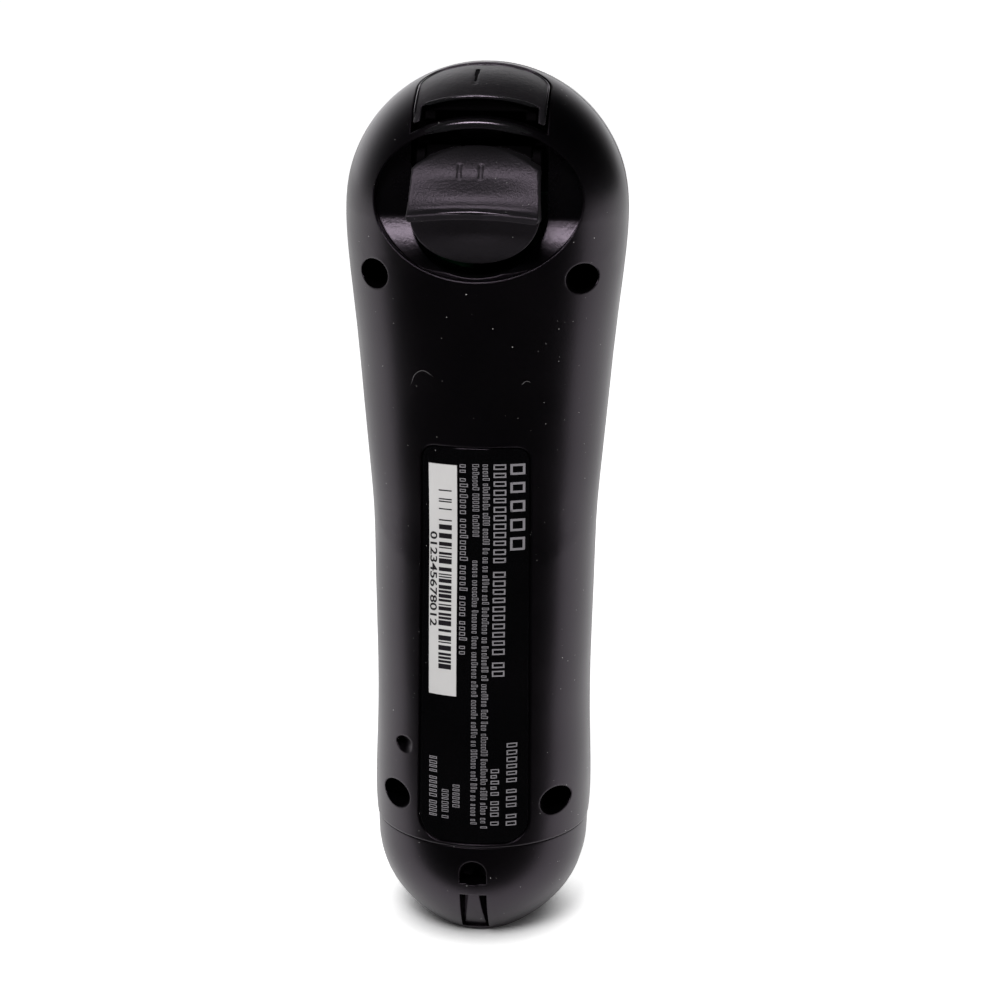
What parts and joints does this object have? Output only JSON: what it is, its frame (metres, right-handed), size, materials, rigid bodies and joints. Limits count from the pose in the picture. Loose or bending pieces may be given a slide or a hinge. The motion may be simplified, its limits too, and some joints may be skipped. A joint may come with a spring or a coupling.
{
  "type": "motion navigation controller",
  "caption": "Slim hand-held navigation controller with a round head, thumb stick, four-way pad, round buttons and two finger triggers, standing on its flat tail end.",
  "frame": {"origin": "centre of the flat tail end face", "axes": "+Z along the grip to the head, -Y the trigger and label side, +Y the thumb-stick side, +X to the right when the triggers face the viewer"},
  "size_m": [0.0431, 0.0488, 0.138],
  "materials": {
    "shell": "satin moulded, fine grain",
    "bezel": "smooth satin-gloss",
    "key": "spark-eroded grain",
    "button": "semi-gloss",
    "stick": "soft matt",
    "ring": "gloss",
    "frame": "plain moulded",
    "label": "gloss",
    "sticker": "paper-backed film",
    "steel": "zinc plated",
    "switch": "moulded",
    "tin": "tin plated",
    "board": "solder mask",
    "mat": "silicone rubber",
    "lamp": "clear red",
    "guide": "smoked clear",
    "chip": "epoxy",
    "link": "polyimide film",
    "cell": "wrapped foil",
    "plug": "nylon",
    "lead": "silicone wire"
  },
  "bodies": {
    "root": {"rear_shell": "shell", "front_shell": "shell", "tail_cap": "shell", "trigger_bezel": "bezel", "trigger_frame": "frame", "label_plate": "label", "serial_sticker": "sticker", "case_screws": "steel", "lower_trigger_pin": "steel", "upper_trigger_pin": "steel", "lower_trigger_spring": "steel", "upper_trigger_switch": "switch", "lower_trigger_sensor": "switch", "frame_screws": "steel", "stick_ring": "ring", "stick_housing": "tin", "stick_sensors": "switch", "stick_click_switch": "switch", "dpad_post": "frame", "main_board": "board", "key_mat": "mat", "indicator_lamps": "lamp", "light_guide": "guide", "shield_can": "tin", "processor_chip": "chip", "board_link": "link", "tail_board": "board", "usb_socket": "tin", "reset_switch": "switch", "board_screws": "steel", "battery_cell": "cell", "battery_tray": "frame", "tray_screws": "steel", "battery_plug": "plug", "battery_lead": "lead"},
    "upper_trigger": {"upper_trigger": "key"},
    "lower_trigger": {"lower_trigger": "key"},
    "gimbal_ring": {"gimbal_ring": "frame"},
    "gimbal_hub": {"gimbal_hub": "frame"},
    "stick": {"stick_cap": "stick", "stick_shaft": "steel"},
    "dpad_pivot": {"dpad_pivot": "steel"},
    "dpad": {"dpad_key": "button"},
    "action_left": {"action_button_left": "button"},
    "action_right": {"action_button_right": "button"},
    "home": {"home_button": "button"},
    "reset": {"reset_plunger": "button"}
  },
  "joints": [
    {"name": "upper_trigger_press", "type": "hinge", "parent": "root", "child": "upper_trigger", "pos_m": [0, 0.0015, 0.1298], "axis": [1, 0, 0], "range_deg": [0, 2.6], "stiffness_Nm_per_rad": 0.5},
    {"name": "lower_trigger_pull", "type": "hinge", "parent": "root", "child": "lower_trigger", "pos_m": [0, -0.012, 0.1249], "axis": [1, 0, 0], "range_deg": [0, 14], "stiffness_Nm_per_rad": 0.1, "deforming": ["lower_trigger_spring"]},
    {"name": "stick_tilt_x", "type": "hinge", "parent": "root", "child": "gimbal_ring", "pos_m": [0, 0.0072, 0.111], "axis": [1, 0, 0], "range_deg": [-17, 17], "stiffness_Nm_per_rad": 0.02},
    {"name": "stick_tilt_z", "type": "hinge", "parent": "gimbal_ring", "child": "gimbal_hub", "pos_m": [0, 0.0072, 0.111], "axis": [0, 0, 1], "range_deg": [-17, 17], "stiffness_Nm_per_rad": 0.02},
    {"name": "stick_click", "type": "slide", "parent": "gimbal_hub", "child": "stick", "axis": [0, -1, 0], "range_m": [0, 0.0005], "stiffness_N_per_m": 2000},
    {"name": "dpad_rock_x", "type": "hinge", "parent": "root", "child": "dpad_pivot", "pos_m": [0, 0.008, 0.086], "axis": [1, 0, 0], "range_deg": [-3, 3], "stiffness_Nm_per_rad": 0.15},
    {"name": "dpad_rock_z", "type": "hinge", "parent": "dpad_pivot", "child": "dpad", "pos_m": [0, 0.008, 0.086], "axis": [0, 0, 1], "range_deg": [-3, 3], "stiffness_Nm_per_rad": 0.15, "deforming": ["key_mat"]},
    {"name": "action_left_press", "type": "slide", "parent": "root", "child": "action_left", "axis": [0.4067, -0.9135, 0], "range_m": [0, 0.001], "stiffness_N_per_m": 600, "deforming": ["key_mat"]},
    {"name": "action_right_press", "type": "slide", "parent": "root", "child": "action_right", "axis": [-0.4067, -0.9135, 0], "range_m": [0, 0.001], "stiffness_N_per_m": 600, "deforming": ["key_mat"]},
    {"name": "home_press", "type": "slide", "parent": "root", "child": "home", "axis": [0, -1, 0], "range_m": [0, 0.0008], "stiffness_N_per_m": 600, "deforming": ["key_mat"]},
    {"name": "reset_press", "type": "slide", "parent": "root", "child": "reset", "axis": [0, 1, 0], "range_m": [0, 0.00025], "stiffness_N_per_m": 1500}
  ]
}
